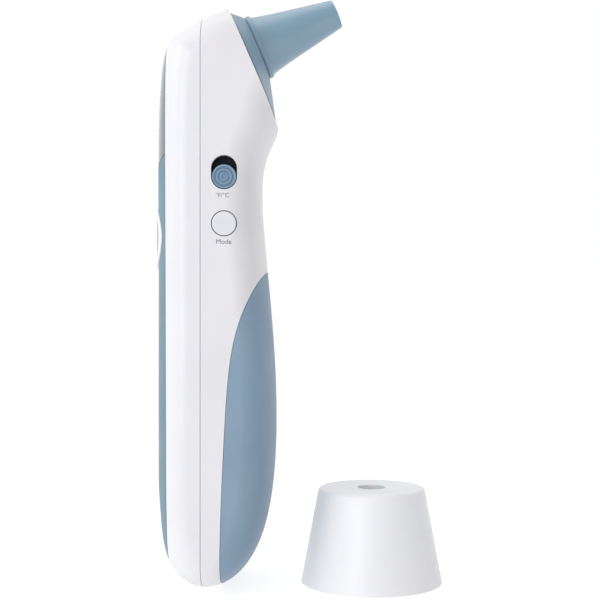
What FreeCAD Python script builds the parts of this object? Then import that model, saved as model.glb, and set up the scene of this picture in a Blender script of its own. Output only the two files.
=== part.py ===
import FreeCAD, Part
import math
import os

# Infrared thermometer for the ear and the forehead, with its separate forehead cap.
# Millimetres. +Z is up along the handle, -X is the display side, +X is the side the
# probe points to, and -Y is the side that carries the slider and the mode button.
# The origin is on the mid-plane, at the height of the foot the thermometer stands on.

V = FreeCAD.Vector
X_AXIS = V(1, 0, 0)
Y_AXIS = V(0, 1, 0)
Z_AXIS = V(0, 0, 1)
FAR = 200.0

# ---- casing ----
HALF_WIDTH = 19.0
EDGE_DEPTH = 9.0        # how far the outline draws in between the middle and the flat sides
EDGE_POWER = 2.2        # superellipse power of that rounding
EDGE_ANGLES = [-90, -80, -65, -45, -25, 0, 25, 45, 65, 80, 90]
WALL = 2.0
SEAM_X = -25.4          # plane where the two shells meet
SEAM_GAP = 0.12
FRONT_X = -37.8         # front face of the handle
SIDE_OUTLINE = [        # x, z on the mid-plane, up the front, over the head and down the back
    (FRONT_X, 30), (FRONT_X, 60), (FRONT_X, 92), (-37.75, 122), (-37.15, 134), (-36.3, 140.2),
    (-34.2, 144.8), (-30.4, 147.4), (-25.6, 150.3), (-20.6, 152.4),
    (-12, 155.3), (-2, 156.5), (6, 151), (6, 141), (-1, 133), (-4.9, 126),
    (-6.3, 120.2), (-8.3, 115.6), (-9.8, 110), (-10.15, 103), (-9.4, 91), (-7.1, 65),
    (-6.3, 46), (-6.75, 31), (-8.4, 19), (-12.1, 8.4), (-18.8, 1.2),
    (-25.5, -0.35), (-31.6, 2.1), (-35.6, 8.4), (-37.2, 18),
]

# ---- front plate: display lens above, blue panel below ----
PLATE_EDGE = ((-34.35, 0), (-34.95, 150))  # two points, x and z, of its straight side edge
PLATE_THICKNESS = 1.6
PLATE_GAP = 0.08
LENS_BOTTOM_Z = 113.2   # ends of the lens's lower edge, which dips in the middle
LENS_DIP = 3.0
LENS_DIP_RADIUS = 38.0
LENS_GAP = 0.2
PLATE_SPAN = (-45, -30)  # x range that holds the whole plate
DECK_X = -33.4          # inner face of the front shell behind the plate

# ---- probe ----
PROBE_TILT = 23.5       # degrees above horizontal
PROBE_BASE = V(-11.6, 0, 143.6)
PROBE_OUT = V(math.cos(math.radians(PROBE_TILT)), 0, math.sin(math.radians(PROBE_TILT)))
FACE_DOWN = V(PROBE_OUT.z, 0, -PROBE_OUT.x)
COLLAR_HEIGHT = 3.5     # from the slanted head face to the foot of the cone
COLLAR_CENTRE = 5.0     # collar's middle, down the face from the probe's axis
COLLAR_HALF_LENGTH = 16.2
COLLAR_HALF_WIDTH = 17.0
COLLAR_POWER = 2.4
COLLAR_WALL = 1.8
CONE_PROFILE = [(0, 8.7), (3.0, 7.75), (7.4, 6.8), (14.5, 5.5), (23.0, 3.95)]
CONE_LENGTH = 23.4
FOOT_RING_RADIUS = 8.8  # rounded ring round the cone's foot
FOOT_RING_HEIGHT = 1.4
FOOT_RING_EDGE = 0.5
TIP_RADIUS = 3.7
CONE_WALL = 1.5
SPIGOT_RADIUS = 6.6
SPIGOT_DEPTH = 3.0
TUBE_RADIUS = 2.6
TUBE_BORE = 2.2
TUBE_START = -2.0
SENSOR_RADIUS = 2.35
SENSOR_LENGTH = 4.0
HOLDER_RADIUS = 6.2
HOLDER_BACK = -9.0
HOLDER_FRONT = -1.0
FACE_HOLE_RADIUS = 7.4

# ---- controls ----
CONTROL_X = -19.35      # line of the slider and the mode button on the side
SCAN_Z = 92.1
SCAN_HALF_WIDTH = 12.5
SCAN_HALF_HEIGHT = 8.3
SCAN_PROUD = 0.4
SCAN_GAP = 0.25
SCAN_FLANGE = 1.5       # how far the flange reaches past the cap, behind the panel
SCAN_STEM_RADIUS = 1.8
SCAN_STEM_END = -32.45  # where the button's stem meets the switch's plunger
MODE_Z = 95.2
MODE_RADIUS = 3.1
MODE_GAP = 0.22
SLOT_Z = 107.15         # centre of the slot's lower round end
SLOT_TRAVEL = 2.15
SLOT_RADIUS = 3.3
KNOB_RADIUS = 3.1
KNOB_SINK = 0.35        # the knob's face below the side of the casing
SIDE_BOARD_Y = -12.6
SIDE_BOARD_THICKNESS = 1.0
SIDE_POSTS_XZ = [(-23.5, 90.9), (-16.0, 90.9), (-22.6, 118.0), (-16.4, 118.0)]
CARRIAGE_Y = -HALF_WIDTH + WALL + 0.2   # outer face of the plate behind the slot
POCKET_X = (CONTROL_X - 4.8, CONTROL_X + 4.0)  # narrower towards the neck, whose wall curves in
POST_ROOT_Y = -HALF_WIDTH + WALL - 0.3

# ---- display and main board ----
BOARD_X = -28.0
BOARD_THICKNESS = 1.6
BOARD_BOTTOM = 76.0
BOARD_TOP = 138.6
BOARD_HALF_WIDTH = 13.2
LCD_HALF_WIDTH = 11.4
LCD_BOTTOM = 114.6
LCD_TOP = 137.0
LCD_THICKNESS = 2.2
WINDOW_MARGIN = 1.6
FRAME_WALL = 1.2
STRIP_HEIGHT = 1.5

# ---- battery compartment ----
CELL_RADIUS = 5.25
CELL_LENGTH = 43.3
CELL_NUB = 1.2
CELL_X = -17.75
CELL_SPACING = 11.2
TRAY_WALL = 1.2
TRAY_BOTTOM = 16.2
TRAY_TOP = 67.2
TRAY_HALF_WIDTH = 12.3
CONTACT_THICKNESS = 0.4
BAY_FLOOR = TRAY_BOTTOM + TRAY_WALL + CONTACT_THICKNESS
BAY_ROOF = TRAY_TOP - TRAY_WALL - CONTACT_THICKNESS
SPRING_LENGTH = BAY_ROOF - BAY_FLOOR - CELL_LENGTH - CELL_NUB - 0.05
SPRING_RADIUS = 2.9
SPRING_WIRE = 0.25      # radius of the spring's wire
SPRING_TURNS = 3
COVER_THICKNESS = 1.8
COVER_GAP = 0.12
COVER_EDGE = [          # side view of the cover's edge, from the back of the neck to the foot
    (0, 88.5), (-8.6, 83.2), (-13.0, 76.2), (-16.4, 67.2), (-18.2, 57), (-19.3, 42), (-20.2, 22),
    (-20.6, -4),
]
SHELF_OUTER = 2.6       # shelf under the cover: its outer and inner depth below the surface
SHELF_INNER = 4.1
RIM_WIDTH = 2.2         # solid rim round the cover's edge

# ---- fasteners ----
CASE_SCREW_Z = [10.6, 71.4]
CASE_SCREW_SEAT_X = SEAM_X + 6.0
POST_RADIUS = 3.0
SCREW_RADIUS = 1.05
SCREW_HEAD_RADIUS = 2.0
SCREW_HEAD_HEIGHT = 1.4
BOARD_SCREWS_YZ = [(-10.6, 78.9), (10.6, 78.9), (-10.6, 108.2), (10.6, 108.2)]

# ---- forehead cap, standing beside the thermometer ----
CAP_X = 19.3
CAP_HEIGHT = 25.2
CAP_BASE_RADIUS = 18.9
CAP_TOP_RADIUS = 14.2
CAP_WALL = 1.8
CAP_HOLE_RADIUS = 3.85
CAP_HOLE_LENGTH = 1.0
CAP_EDGE = 1.0
SLEEVE_CLEARANCE = 0.35
SLEEVE_WALL = 1.1
SLEEVE_DEPTH = 17.0


# ---------------------------------------------------------------- helpers

def box(x, y, z):
    """Box between three pairs of limits."""
    return Part.makeBox(x[1] - x[0], y[1] - y[0], z[1] - z[0], V(x[0], y[0], z[0]))


def rod(radius, start, direction, length):
    return Part.makeCylinder(radius, length, start, direction)


def closed_spline(points, knots=None):
    """Closed smooth wire through the points; equal knots keep the sections of a loft in step."""
    curve = Part.BSplineCurve()
    if knots is None:
        knots = [float(i) for i in range(len(points) + 1)]
    curve.interpolate(Points=points, PeriodicFlag=True, Parameters=knots)
    return curve


def side_prism(points, half_width=FAR / 2):
    """Prism along Y over a closed side-view outline given as edges or as (x, z) corners."""
    if isinstance(points[0], tuple):
        corners = [V(x, -half_width, z) for x, z in points]
        wire = Part.makePolygon(corners + corners[:1])
    else:
        wire = Part.Wire(points)
        wire.translate(V(0, -half_width, 0))
    return Part.Face(wire).extrude(V(0, 2 * half_width, 0))


def ellipse_prism(half_width, half_height, z, x_from, x_to):
    """Prism along X with an elliptical section about the mid-plane."""
    major, minor = max(half_width, half_height), min(half_width, half_height)
    ellipse = Part.Ellipse(V(0, 0, 0), major, minor).toShape()
    face = Part.Face(Part.Wire(ellipse))
    if half_height > half_width:
        face.rotate(V(0, 0, 0), Z_AXIS, 90)
    face.rotate(V(0, 0, 0), Z_AXIS, 90)
    face.rotate(V(0, 0, 0), Y_AXIS, 90)
    face.translate(V(x_from, 0, z))
    return face.extrude(V(x_to - x_from, 0, 0))


def revolved(profile):
    """Solid of revolution about +Z from a closed list of (radius, z) corners."""
    corners = [V(r, 0, z) for r, z in profile]
    face = Part.Face(Part.makePolygon(corners + corners[:1]))
    return face.revolve(V(0, 0, 0), Z_AXIS, 360)


def onto_probe(shape):
    """Moves a shape built about +Z, with its foot at the origin, onto the probe's axis."""
    shape = shape.copy()
    shape.rotate(V(0, 0, 0), Y_AXIS, 90 - PROBE_TILT)
    shape.translate(PROBE_BASE)
    return shape


def wire_run(points, radius):
    """Round lead through the points, with round elbows."""
    pieces = []
    for start, end in zip(points, points[1:]):
        pieces.append(rod(radius, start, end - start, (end - start).Length))
    for elbow in points[1:-1]:
        pieces.append(Part.makeSphere(radius, elbow))
    return pieces[0].fuse(pieces[1:]).removeSplitter()


def fused(shapes):
    return shapes[0].fuse(shapes[1:]).removeSplitter()


# ---------------------------------------------------------------- casing body

def outline_knots():
    """Knots of the outline, spaced by the distance between its points."""
    points = [V(x, 0, z) for x, z in SIDE_OUTLINE]
    knots = [0.0]
    for start, end in zip(points, points[1:] + points[:1]):
        knots.append(knots[-1] + (end - start).Length)
    return points, knots


def casing(inset):
    """The casing's solid body drawn in by inset, with the slanted head face cut and the foot flat."""
    points, knots = outline_knots()
    middle = closed_spline(points, knots)
    inward = []
    for knot in knots[:-1]:
        along = middle.tangent(knot)[0]
        inward.append(V(along.z, 0, -along.x).normalize())
    sections = []
    for angle in EDGE_ANGLES:
        a = math.radians(angle)
        side = math.copysign(abs(math.sin(a)) ** (2 / EDGE_POWER), angle)
        top = abs(math.cos(a)) ** (2 / EDGE_POWER)
        depth = inset + (EDGE_DEPTH - inset) * (1 - top)
        y = (HALF_WIDTH - inset) * side
        ring = [p + n * depth + Y_AXIS * y for p, n in zip(points, inward)]
        sections.append(Part.Wire(closed_spline(ring, knots).toShape()))
    body = Part.makeLoft(sections, True, False)
    beyond_face = rod(FAR, PROBE_BASE - PROBE_OUT * (COLLAR_HEIGHT + inset), PROBE_OUT, FAR)
    below_foot = box((-FAR, FAR), (-FAR, FAR), (-FAR, inset))
    return body.cut(beyond_face).cut(below_foot)


def cover_region(grow=0.0):
    """Prism behind the battery cover's edge line, moved outwards by grow."""
    line = [V(x, 0, z) for x, z in COVER_EDGE]
    curve = Part.BSplineCurve()
    curve.interpolate(Points=line)
    moved = []
    for point in line:
        along = curve.tangent(curve.parameter(point))[0]
        moved.append(point + V(along.z, 0, -along.x).normalize() * grow)
    edge = Part.BSplineCurve()
    edge.interpolate(Points=moved)
    far_low = V(FAR / 2, 0, moved[-1].z)
    far_high = V(FAR / 2, 0, moved[0].z)
    closing = Part.makePolygon([moved[-1], far_low, far_high, moved[0]]).Edges
    return side_prism([edge.toShape()] + closing)


OUTER = casing(0.0)
INNER = casing(WALL)
UNDER_PLATE = casing(PLATE_THICKNESS)
FRONT_HALF = box((-FAR, SEAM_X - SEAM_GAP / 2), (-FAR, FAR), (-FAR, FAR))
BACK_HALF = box((SEAM_X + SEAM_GAP / 2, FAR), (-FAR, FAR), (-FAR, FAR))


# ---------------------------------------------------------------- front of the casing

def front_plate(edge_gap=0.0, back_gap=0.0):
    """The plate wrapped over the front face, from its edge forwards."""
    (low_x, low_z), (high_x, high_z) = PLATE_EDGE
    ahead = side_prism([(low_x + edge_gap, low_z), (high_x + edge_gap, high_z),
                        (-FAR, high_z), (-FAR, low_z)])
    under = UNDER_PLATE if not back_gap else casing(PLATE_THICKNESS + back_gap)
    return OUTER.common(ahead).cut(under)


def display_window(margin):
    """Opening in front of the display cell."""
    y = LCD_HALF_WIDTH - margin
    return box((-FAR, DECK_X + 1), (-y, y), (LCD_BOTTOM + margin, LCD_TOP - margin))


def scan_opening():
    width = SCAN_HALF_WIDTH + SCAN_FLANGE + 0.4
    height = SCAN_HALF_HEIGHT + SCAN_FLANGE + 0.4
    return ellipse_prism(width, height, SCAN_Z, PLATE_SPAN[0], DECK_X + 1)


def front_boss(y, z, x_end, radius):
    """Boss on the front shell's deck with a pilot hole for a screw."""
    boss = rod(radius, V(DECK_X - 1.2, y, z), X_AXIS, x_end - DECK_X + 1.2)
    pilot = rod(SCREW_RADIUS - 0.15, V(DECK_X + 0.8, y, z), X_AXIS, FAR / 4)
    return boss, pilot


def front_shell():
    hollow = INNER.common(box((DECK_X, FAR), (-FAR, FAR), (-FAR, FAR)))
    shell = OUTER.common(FRONT_HALF).cut(hollow)
    shell = shell.cut(front_plate(PLATE_GAP, PLATE_GAP))
    bosses = [front_boss(y, z, BOARD_X - 0.05, 1.9) for y, z in BOARD_SCREWS_YZ]
    bosses += [front_boss(0, z, SEAM_X - SEAM_GAP / 2, POST_RADIUS) for z in CASE_SCREW_Z]
    behind_plate = casing(PLATE_THICKNESS + PLATE_GAP)
    shell = shell.fuse([boss.common(behind_plate) for boss, pilot in bosses])
    shell = shell.cut([pilot for boss, pilot in bosses])
    return shell.cut([display_window(WINDOW_MARGIN), scan_opening()])


def lens_zone(gap):
    """Everything above the lens's lower edge, which dips in an arc, less a gap."""
    level = LENS_BOTTOM_Z + gap
    above = box((-FAR, FAR), (-FAR, FAR), (level, FAR))
    dip = rod(LENS_DIP_RADIUS, V(-FAR, 0, level - LENS_DIP + LENS_DIP_RADIUS), X_AXIS, 2 * FAR)
    return above.fuse(dip)


def front_panel():
    hole = ellipse_prism(SCAN_HALF_WIDTH + SCAN_GAP, SCAN_HALF_HEIGHT + SCAN_GAP, SCAN_Z,
                         *PLATE_SPAN)
    return front_plate().cut(lens_zone(-LENS_GAP / 2)).cut(hole)


def display_lens():
    return front_plate().common(lens_zone(LENS_GAP / 2))


def scan_button():
    """Oval cap that follows the front's curve, with a flange behind the panel and a stem."""
    back = casing(PLATE_THICKNESS + 1.15)
    under_panel = casing(PLATE_THICKNESS + 0.15)
    proud = OUTER.copy()
    proud.translate(V(-SCAN_PROUD, 0, 0))
    cap = proud.common(ellipse_prism(SCAN_HALF_WIDTH, SCAN_HALF_HEIGHT, SCAN_Z, *PLATE_SPAN))
    flange = under_panel.common(ellipse_prism(SCAN_HALF_WIDTH + SCAN_FLANGE,
                                              SCAN_HALF_HEIGHT + SCAN_FLANGE, SCAN_Z, *PLATE_SPAN))
    stem_start = FRONT_X + 1.8
    stem = rod(SCAN_STEM_RADIUS, V(stem_start, 0, SCAN_Z), X_AXIS, SCAN_STEM_END - stem_start)
    return fused([cap.cut(back), flange.cut(back), stem])


# ---------------------------------------------------------------- back of the casing

def shelf():
    """Skin under the battery cover, open where the cells go in."""
    skin = casing(SHELF_OUTER).cut(casing(SHELF_INNER)).common(cover_region(RIM_WIDTH / 2))
    y = TRAY_HALF_WIDTH - TRAY_WALL
    return skin.cut(box((CELL_X, FAR), (-y, y), (TRAY_BOTTOM + TRAY_WALL, TRAY_TOP - TRAY_WALL)))


def cover_rim():
    """Thick rim of the rear shell round the cover's edge."""
    band = cover_region(RIM_WIDTH).cut(cover_region(COVER_GAP))
    return OUTER.common(BACK_HALF).cut(casing(SHELF_INNER)).common(band)


def case_post(z):
    """Screw post of the rear shell, from the shelf to the seam."""
    post = rod(POST_RADIUS, V(SEAM_X + SEAM_GAP / 2, 0, z), X_AXIS, FAR / 4)
    return post.common(casing(SHELF_OUTER))


def case_screw_hole(z):
    """Clearance hole for the shank, and the recess for the head, open to the back."""
    hole = rod(SCREW_RADIUS + 0.15, V(SEAM_X - 1, 0, z), X_AXIS, FAR / 4)
    recess = rod(SCREW_HEAD_RADIUS + 0.25, V(CASE_SCREW_SEAT_X, 0, z), X_AXIS, FAR / 4)
    return [hole, recess]


def slot_prism(radius, y_from, y_to, travel=SLOT_TRAVEL):
    """Upright slot with round ends through the side wall."""
    depth = y_to - y_from
    low = rod(radius, V(CONTROL_X, y_from, SLOT_Z), Y_AXIS, depth)
    high = rod(radius, V(CONTROL_X, y_from, SLOT_Z + travel), Y_AXIS, depth)
    middle = box((CONTROL_X - radius, CONTROL_X + radius), (y_from, y_to),
                 (SLOT_Z, SLOT_Z + travel))
    return fused([low, high, middle])


def control_pocket():
    """Flat pocket inside the side wall, where the carriage and the button's flange sit."""
    return box(POCKET_X, (-HALF_WIDTH + WALL, SIDE_BOARD_Y - 0.2),
               (MODE_Z - 5.2, SLOT_Z + SLOT_TRAVEL + 6.2))


def side_posts():
    """Posts that carry the side board, each with a peg through it."""
    posts = []
    for x, z in SIDE_POSTS_XZ:
        root = V(x, POST_ROOT_Y, z)
        length = SIDE_BOARD_Y - POST_ROOT_Y
        posts.append(rod(1.3, root, Y_AXIS, length))
        posts.append(rod(0.7, root, Y_AXIS, length + SIDE_BOARD_THICKNESS + 0.4))
    return posts


def rear_shell():
    shell = OUTER.common(BACK_HALF).cut(INNER).cut(cover_region())
    shell = shell.fuse([cover_rim(), shelf()] + [case_post(z) for z in CASE_SCREW_Z])
    for z in CASE_SCREW_Z:
        shell = shell.cut(case_screw_hole(z))
    shell = shell.cut(rod(FACE_HOLE_RADIUS, PROBE_BASE - PROBE_OUT * 8, PROBE_OUT, 8))
    shell = shell.cut(slot_prism(SLOT_RADIUS, -FAR / 4, -HALF_WIDTH + WALL + 1))
    shell = shell.cut(rod(MODE_RADIUS + MODE_GAP, V(CONTROL_X, -FAR / 4, MODE_Z), Y_AXIS,
                          FAR / 4 - HALF_WIDTH + 2 * WALL))
    shell = shell.cut(control_pocket())
    return shell.fuse(side_posts())


def battery_cover():
    skin = OUTER.common(BACK_HALF).cut(casing(COVER_THICKNESS))
    return skin.common(cover_region(-COVER_GAP))


# ---------------------------------------------------------------- probe

def collar_ring(shrink, height):
    """Footprint of the collar on the head face, drawn in by shrink, at a height below the cone."""
    centre = PROBE_BASE + FACE_DOWN * COLLAR_CENTRE - PROBE_OUT * height
    points = []
    for step in range(24):
        a = 2 * math.pi * step / 24
        c, s = math.cos(a), math.sin(a)
        v = math.copysign(abs(c) ** (2 / COLLAR_POWER), c) * (COLLAR_HALF_LENGTH - shrink)
        y = math.copysign(abs(s) ** (2 / COLLAR_POWER), s) * (COLLAR_HALF_WIDTH - shrink)
        points.append(centre + FACE_DOWN * v + Y_AXIS * y)
    return Part.Wire(closed_spline(points).toShape())


def round_ring(radius, height):
    centre = PROBE_BASE - PROBE_OUT * height
    points = []
    for step in range(24):
        a = 2 * math.pi * step / 24
        points.append(centre + FACE_DOWN * radius * math.cos(a) + Y_AXIS * radius * math.sin(a))
    return Part.Wire(closed_spline(points).toShape())


def probe_collar():
    """Hollow transition from the head's face to the foot of the cone, with a spigot."""
    cone_foot = CONE_PROFILE[0][1]
    skin = Part.makeLoft([collar_ring(0, COLLAR_HEIGHT), round_ring(cone_foot, 0)], True, True)
    hollow = Part.makeLoft([collar_ring(COLLAR_WALL, COLLAR_HEIGHT),
                            round_ring(cone_foot - 0.6, COLLAR_WALL)], True, True)
    spigot_length = COLLAR_HEIGHT + WALL - 0.2
    spigot = rod(FACE_HOLE_RADIUS - 0.1, PROBE_BASE - PROBE_OUT * spigot_length, PROBE_OUT,
                 spigot_length)
    bore = rod(SPIGOT_RADIUS + 0.06, PROBE_BASE - PROBE_OUT * 10, PROBE_OUT, 12)
    return skin.cut(hollow).fuse(spigot).removeSplitter().cut(bore)


def cone_solid(grow):
    """Outer form of the probe cone about +Z, grown outwards by grow."""
    curve = Part.BSplineCurve()
    curve.interpolate(Points=[V(r + grow, 0, u) for u, r in CONE_PROFILE])
    side_end = V(CONE_PROFILE[-1][1] + grow, 0, CONE_PROFILE[-1][0])
    tip_edge = V(TIP_RADIUS + grow, 0, CONE_LENGTH + max(grow, 0))
    corner = V(side_end.x - 0.08, 0, tip_edge.z - 0.08)
    edges = [
        curve.toShape(),
        Part.Arc(side_end, corner, tip_edge).toShape(),
        Part.makeLine(tip_edge, V(0, 0, tip_edge.z)),
        Part.makeLine(V(0, 0, tip_edge.z), V(0, 0, 0)),
        Part.makeLine(V(0, 0, 0), V(CONE_PROFILE[0][1] + grow, 0, 0)),
    ]
    return Part.Face(Part.Wire(edges)).revolve(V(0, 0, 0), Z_AXIS, 360)


def probe_cone():
    """Hollow flared cone with a spigot that plugs into the collar."""
    cavity = cone_solid(-CONE_WALL).common(rod(20, V(0, 0, CONE_WALL), Z_AXIS, CONE_LENGTH - 3.7))
    spigot = rod(SPIGOT_RADIUS, V(0, 0, -SPIGOT_DEPTH), Z_AXIS, SPIGOT_DEPTH)
    ring = rod(FOOT_RING_RADIUS, V(0, 0, 0.1), Z_AXIS, FOOT_RING_HEIGHT)
    rims = [edge for edge in ring.Edges if edge.Curve.TypeId == "Part::GeomCircle"]
    ring = ring.makeFillet(FOOT_RING_EDGE, rims)
    body = cone_solid(0).fuse([spigot, ring]).cut(cavity)
    body = body.cut(rod(SPIGOT_RADIUS - 1.4, V(0, 0, -SPIGOT_DEPTH - 1), Z_AXIS, SPIGOT_DEPTH + 1.5))
    body = body.cut(rod(TUBE_RADIUS + 0.05, V(0, 0, 0), Z_AXIS, CONE_LENGTH + 1))
    return onto_probe(body)


def sensor_tube():
    length = CONE_LENGTH - 0.7 - TUBE_START
    tube = rod(TUBE_RADIUS, V(0, 0, TUBE_START), Z_AXIS, length)
    return onto_probe(tube.cut(rod(TUBE_BORE, V(0, 0, TUBE_START - 1), Z_AXIS, length + 2)))


def probe_window():
    """Infrared window that closes the tube at the tip."""
    seat = CONE_LENGTH - 0.7
    return onto_probe(rod(TUBE_RADIUS, V(0, 0, seat), Z_AXIS, 0.4))


def thermopile_sensor():
    """Sensor can with its base flange and four pins."""
    top = TUBE_START - 0.1
    base = top - SENSOR_LENGTH
    parts = [rod(SENSOR_RADIUS, V(0, 0, base), Z_AXIS, SENSOR_LENGTH),
             rod(SENSOR_RADIUS + 0.4, V(0, 0, base), Z_AXIS, 0.6)]
    for step in range(4):
        a = math.radians(45 + 90 * step)
        parts.append(rod(0.22, V(1.2 * math.cos(a), 1.2 * math.sin(a), base - 2.6), Z_AXIS, 3.0))
    return onto_probe(fused(parts))


def sensor_holder():
    """Block that clamps the can and the tube inside the spigot."""
    collar_bore = SPIGOT_RADIUS - 1.5
    front = rod(collar_bore, V(0, 0, HOLDER_BACK), Z_AXIS, HOLDER_FRONT - HOLDER_BACK)
    back = rod(HOLDER_RADIUS, V(0, 0, HOLDER_BACK), Z_AXIS, -SPIGOT_DEPTH - 0.2 - HOLDER_BACK)
    can_base = TUBE_START - 0.1 - SENSOR_LENGTH
    body = front.fuse(back)
    body = body.cut(rod(TUBE_RADIUS + 0.03, V(0, 0, TUBE_START - 0.05), Z_AXIS, 5))
    body = body.cut(rod(SENSOR_RADIUS + 0.05, V(0, 0, can_base), Z_AXIS, SENSOR_LENGTH + 0.05))
    body = body.cut(rod(SENSOR_RADIUS + 0.45, V(0, 0, HOLDER_BACK - 1), Z_AXIS,
                        can_base + 0.65 - HOLDER_BACK + 1))
    return onto_probe(body)


def sensor_ribbon():
    """Flat cable from the pins behind the sensor down to the main board."""
    pins_end = PROBE_BASE + PROBE_OUT * (HOLDER_BACK - 0.4)
    board_back = BOARD_X + BOARD_THICKNESS
    line = [
        (pins_end.x + FACE_DOWN.x * -3, pins_end.z + FACE_DOWN.z * -3),
        (pins_end.x + FACE_DOWN.x * 6, pins_end.z + FACE_DOWN.z * 6),
        (board_back + 2.4, 126.0), (board_back + 0.02, 124.6), (board_back + 0.02, 120.6),
    ]
    thickness = 0.25
    back = [(x + thickness, z) for x, z in reversed(line)]
    return side_prism(line + back, 2.5)


# ---------------------------------------------------------------- side controls

def unit_slider():
    """Round knob with raised rings, and a neck through the slot."""
    face_y = -HALF_WIDTH + KNOB_SINK
    depth = CARRIAGE_Y - face_y
    profile = [(0, 0), (0, depth - 0.35), (0.55, depth - 0.35), (0.55, depth)]
    for ring in (1.15, 2.05):
        profile += [(ring - 0.1, depth), (ring, depth - 0.3), (ring + 0.35, depth - 0.3),
                    (ring + 0.45, depth)]
    profile += [(KNOB_RADIUS - 0.25, depth), (KNOB_RADIUS, depth - 0.25), (KNOB_RADIUS, 0)]
    knob = revolved(profile)
    knob.rotate(V(0, 0, 0), X_AXIS, 90)
    knob.translate(V(CONTROL_X, CARRIAGE_Y, SLOT_Z))
    return knob


def slider_carriage():
    """Dark plate behind the slot, which carries the knob and takes the switch's lever."""
    plate = box((CONTROL_X - 4.4, POCKET_X[1] - 0.2), (CARRIAGE_Y, CARRIAGE_Y + 0.9),
                (SLOT_Z - 5.8, SLOT_Z + 5.8))
    notch = box((CONTROL_X - 0.7, CONTROL_X + 0.7), (CARRIAGE_Y + 0.35, CARRIAGE_Y + 1),
                (SLOT_Z - 0.8, SLOT_Z + 0.8))
    return plate.cut(notch)


def unit_switch_box(wall):
    top = SIDE_BOARD_Y - 2.3 + wall
    return box((CONTROL_X - 2 + wall, CONTROL_X + 2 - wall), (top, SIDE_BOARD_Y - wall),
               (SLOT_Z - 3.4 + wall, SLOT_Z + SLOT_TRAVEL + 3.4 - wall))


def unit_switch():
    """Slide switch body with a channel for its lever."""
    channel = box((CONTROL_X - 0.75, CONTROL_X + 0.75), (SIDE_BOARD_Y - 3, SIDE_BOARD_Y - 1),
                  (SLOT_Z - 1.0, SLOT_Z + SLOT_TRAVEL + 1.0))
    return unit_switch_box(0).cut(unit_switch_box(0.4)).cut(channel)


def unit_switch_lever():
    stalk = box((CONTROL_X - 0.6, CONTROL_X + 0.6), (CARRIAGE_Y + 0.4, SIDE_BOARD_Y - 1.6),
                (SLOT_Z - 0.7, SLOT_Z + 0.7))
    foot = box((CONTROL_X - 1.3, CONTROL_X + 1.3), (SIDE_BOARD_Y - 1.7, SIDE_BOARD_Y - 0.9),
               (SLOT_Z - 1.2, SLOT_Z + 1.2))
    return fused([stalk, foot])


def mode_button():
    """Round cap with a flange behind the wall and a short stem."""
    face = V(CONTROL_X, -HALF_WIDTH - 0.1, MODE_Z)
    behind = -HALF_WIDTH + WALL + 0.15
    cap = rod(MODE_RADIUS, face, Y_AXIS, behind - face.y + 0.1)
    rim = max(cap.Edges, key=lambda edge: -edge.CenterOfMass.y)
    cap = cap.makeFillet(0.25, [rim])
    flange = rod(MODE_RADIUS + 0.75, V(CONTROL_X, behind, MODE_Z), Y_AXIS, 0.7)
    stem = rod(1.2, V(CONTROL_X, behind, MODE_Z), Y_AXIS, SIDE_BOARD_Y - 2.8 - behind)
    return fused([cap, flange, stem])


def press_switch(centre, direction, half_size, height, bore):
    """Square press-switch body standing on its board, bored for its plunger."""
    body = Part.makeBox(2 * half_size, 2 * half_size, height, V(-half_size, -half_size, -height))
    body = body.cut(Part.makeCylinder(bore, height - 0.6, V(0, 0, -height + 0.6)))
    placement = FreeCAD.Placement(centre, FreeCAD.Rotation(Z_AXIS, direction))
    body.Placement = placement
    return body


def mode_switch():
    return press_switch(V(CONTROL_X, SIDE_BOARD_Y - 2.0, MODE_Z), V(0, -1, 0), 2.2, 2.0, 1.15)


def mode_switch_plunger():
    return rod(1.1, V(CONTROL_X, SIDE_BOARD_Y - 2.8, MODE_Z), Y_AXIS, 1.4)


def scan_switch():
    return press_switch(V(BOARD_X - 3.6, 0, SCAN_Z), V(-1, 0, 0), 3.0, 3.6, 1.85)


def scan_switch_plunger():
    return rod(SCAN_STEM_RADIUS, V(SCAN_STEM_END, 0, SCAN_Z), X_AXIS, 2.6)


def side_board():
    board = box((-25.0, -14.5), (SIDE_BOARD_Y, SIDE_BOARD_Y + SIDE_BOARD_THICKNESS), (89.0, 120.2))
    return board.cut([rod(0.75, V(x, SIDE_BOARD_Y - 1, z), Y_AXIS, 4) for x, z in SIDE_POSTS_XZ])


# ---------------------------------------------------------------- display and main board

def lcd_glass():
    return box((DECK_X + 0.1, DECK_X + 0.1 + LCD_THICKNESS), (-LCD_HALF_WIDTH, LCD_HALF_WIDTH),
               (LCD_BOTTOM, LCD_TOP))


def lcd_frame():
    """Rectangular holder from the deck to the board, round the display cell."""
    y, low, high = LCD_HALF_WIDTH + 0.1, LCD_BOTTOM - 0.1, LCD_TOP + 0.1
    x = (DECK_X + 0.1, BOARD_X - 0.05)
    outside = box(x, (-y - FRAME_WALL, y + FRAME_WALL), (low - FRAME_WALL, high + FRAME_WALL))
    return outside.common(INNER).cut(box((x[0] - 1, x[1] + 1), (-y, y), (low, high)))


def lcd_connector_strips():
    """Two rubber strips that join the cell's edges to the board."""
    x = (DECK_X + 0.1 + LCD_THICKNESS, BOARD_X)
    strips = [box(x, (-11, 11), (LCD_BOTTOM + 0.2, LCD_BOTTOM + 0.2 + STRIP_HEIGHT)),
              box(x, (-11, 11), (LCD_TOP - 0.2 - STRIP_HEIGHT, LCD_TOP - 0.2))]
    return Part.makeCompound(strips)


def backlight_plate():
    x = DECK_X + 0.1 + LCD_THICKNESS
    y = LCD_HALF_WIDTH - 0.3
    return box((x + 0.02, x + 1.6), (-y, y),
               (LCD_BOTTOM + STRIP_HEIGHT + 0.4, LCD_TOP - STRIP_HEIGHT - 0.4))


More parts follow.
